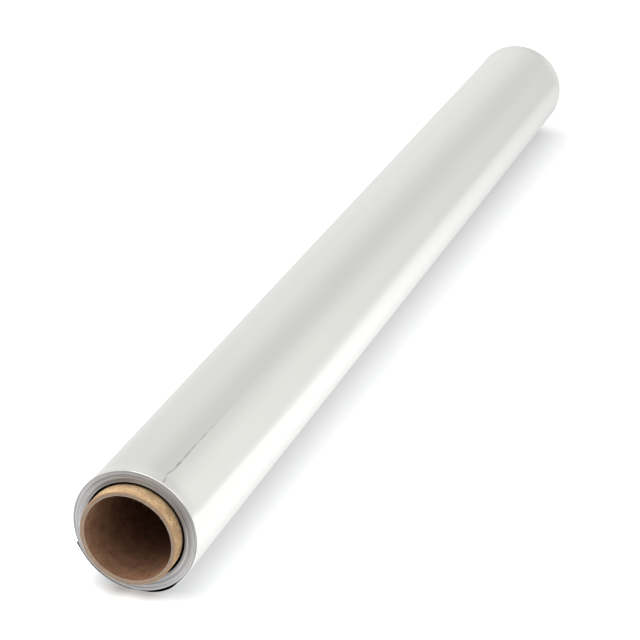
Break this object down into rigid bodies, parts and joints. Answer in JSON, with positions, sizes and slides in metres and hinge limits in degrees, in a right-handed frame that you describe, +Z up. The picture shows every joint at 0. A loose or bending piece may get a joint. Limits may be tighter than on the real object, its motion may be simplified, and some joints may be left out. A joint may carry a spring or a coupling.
{
  "type": "aluminium foil roll",
  "caption": "Long roll of aluminium kitchen foil on a card core that stands proud at both ends, lying on its side with a loose outer turn.",
  "frame": {"origin": "on the surface that the roll lies on, under the middle of the roll", "axes": "+X along the roll, +Z up; the end that the picture shows is at -X, and its left side is +Y"},
  "size_m": [0.4592, 0.0406, 0.0407],
  "materials": {
    "foil": "satin",
    "core_card": "matte"
  },
  "bodies": {
    "root": {"foil_roll": "foil", "core_tube": "core_card"}
  },
  "joints": []
}
